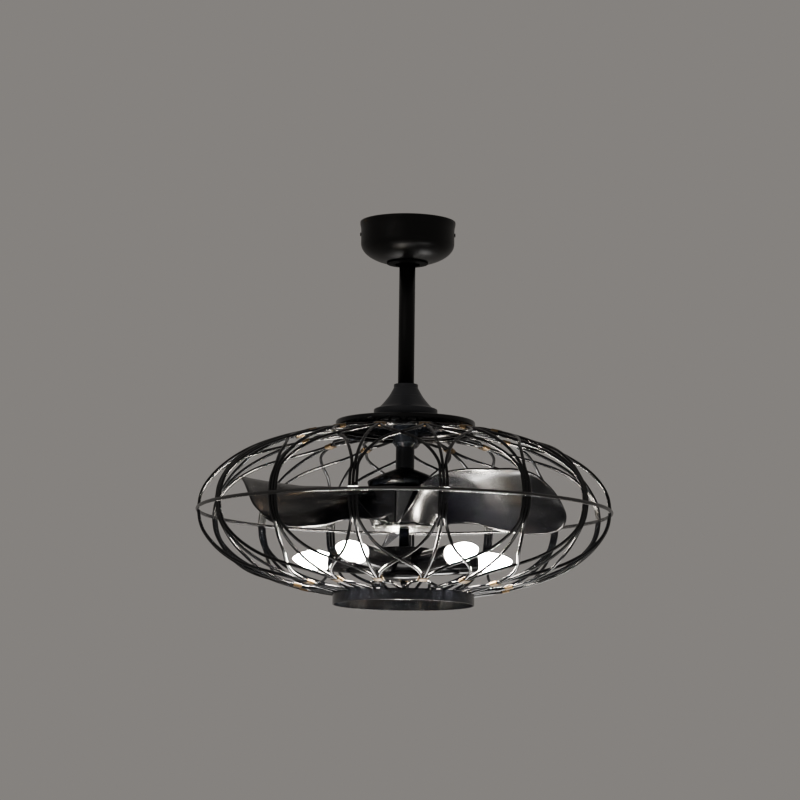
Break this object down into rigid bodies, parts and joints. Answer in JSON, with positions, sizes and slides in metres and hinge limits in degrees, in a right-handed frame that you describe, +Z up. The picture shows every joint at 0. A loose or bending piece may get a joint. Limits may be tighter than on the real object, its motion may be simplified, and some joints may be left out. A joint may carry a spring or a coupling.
{
  "type": "ceiling fan",
  "caption": "Caged ceiling fan on a short downrod, with scooped black blades round a small motor and a ring of bare bulbs under it, inside a looped wire cage.",
  "frame": {"origin": "centre of the ceiling bracket's flat top, on the ceiling", "axes": "+Z up into the ceiling, along the fan's axis; -Y towards the viewer of the picture"},
  "size_m": [0.6514, 0.6514, 0.6064],
  "materials": {
    "black_paint": "matte black paint",
    "wire_paint": "satin black paint",
    "zinc_steel": "zinc plated",
    "bright_steel": "bright plated",
    "core_iron": "plain laminations",
    "winding_copper": "enamelled copper wire",
    "ball_plastic": "matte",
    "blade_plastic": "glossy black",
    "holder_plastic": "glossy black",
    "socket_ceramic": "glazed white",
    "bulb_glass": "clear"
  },
  "bodies": {
    "ceiling": {"ceiling_bracket": "zinc_steel", "ceiling_screw_1": "bright_steel", "ceiling_screw_2": "bright_steel", "canopy": "black_paint", "canopy_screw_1": "black_paint", "canopy_screw_2": "black_paint", "canopy_trim_ring": "black_paint", "remote_receiver": "ball_plastic"},
    "hanger": {"downrod": "black_paint", "coupling_cover": "black_paint", "cage_top_plate": "black_paint", "upper_mast": "black_paint", "motor_cap": "black_paint", "light_hub": "black_paint", "light_hub_bowl": "black_paint", "finial": "black_paint", "upper_cage": "wire_paint", "lower_cage": "wire_paint", "coupling": "zinc_steel", "motor_shaft": "zinc_steel", "ball_cross_pin": "bright_steel", "rod_pin": "bright_steel", "rod_cotter_pin": "bright_steel", "set_screw_1": "bright_steel", "top_plate_screw_1": "bright_steel", "top_plate_screw_2": "bright_steel", "top_plate_screw_3": "bright_steel", "upper_bearing": "bright_steel", "lower_bearing": "bright_steel", "hub_nut": "bright_steel", "stator_core": "core_iron", "stator_winding": "winding_copper", "hanger_ball": "ball_plastic", "lamp_holder_1": "holder_plastic", "lamp_holder_2": "holder_plastic", "lamp_holder_3": "holder_plastic", "lamp_holder_4": "holder_plastic", "lamp_holder_5": "holder_plastic", "bulb_socket_1": "socket_ceramic", "bulb_socket_2": "socket_ceramic", "bulb_socket_3": "socket_ceramic", "bulb_socket_4": "socket_ceramic", "bulb_socket_5": "socket_ceramic"},
    "rotor": {"rotor_drum": "black_paint", "rotor_magnet_ring": "core_iron", "rotor_end_plate": "black_paint", "blade_1": "blade_plastic", "blade_2": "blade_plastic", "blade_3": "blade_plastic", "end_plate_screw_1": "bright_steel", "end_plate_screw_2": "bright_steel", "end_plate_screw_3": "bright_steel", "end_plate_screw_4": "bright_steel", "end_plate_screw_5": "bright_steel", "end_plate_screw_6": "bright_steel"},
    "bulb_1_body": {"bulb_1": "bulb_glass"},
    "bulb_2_body": {"bulb_2": "bulb_glass"},
    "bulb_3_body": {"bulb_3": "bulb_glass"},
    "bulb_4_body": {"bulb_4": "bulb_glass"},
    "bulb_5_body": {"bulb_5": "bulb_glass"}
  },
  "joints": [
    {"name": "hanger_swing", "type": "hinge", "parent": "ceiling", "child": "hanger", "pos_m": [0, 0, -0.04254], "axis": [0, 1, 0], "range_deg": [-8, 8]},
    {"name": "rotor_spin", "type": "hinge", "parent": "hanger", "child": "rotor", "pos_m": [0, 0, -0.461], "axis": [0, 0, 1], "continuous": true},
    {"name": "bulb_1_out", "type": "slide", "parent": "hanger", "child": "bulb_1_body", "axis": [0.6133, -0.785, 0.0872], "range_m": [0, 0.026]},
    {"name": "bulb_2_out", "type": "slide", "parent": "hanger", "child": "bulb_2_body", "axis": [0.9361, 0.3407, 0.0872], "range_m": [0, 0.026]},
    {"name": "bulb_3_out", "type": "slide", "parent": "hanger", "child": "bulb_3_body", "axis": [-0.0348, 0.9956, 0.0872], "range_m": [0, 0.026]},
    {"name": "bulb_4_out", "type": "slide", "parent": "hanger", "child": "bulb_4_body", "axis": [-0.9576, 0.2746, 0.0872], "range_m": [0, 0.026]},
    {"name": "bulb_5_out", "type": "slide", "parent": "hanger", "child": "bulb_5_body", "axis": [-0.5571, -0.8259, 0.0872], "range_m": [0, 0.026]}
  ]
}
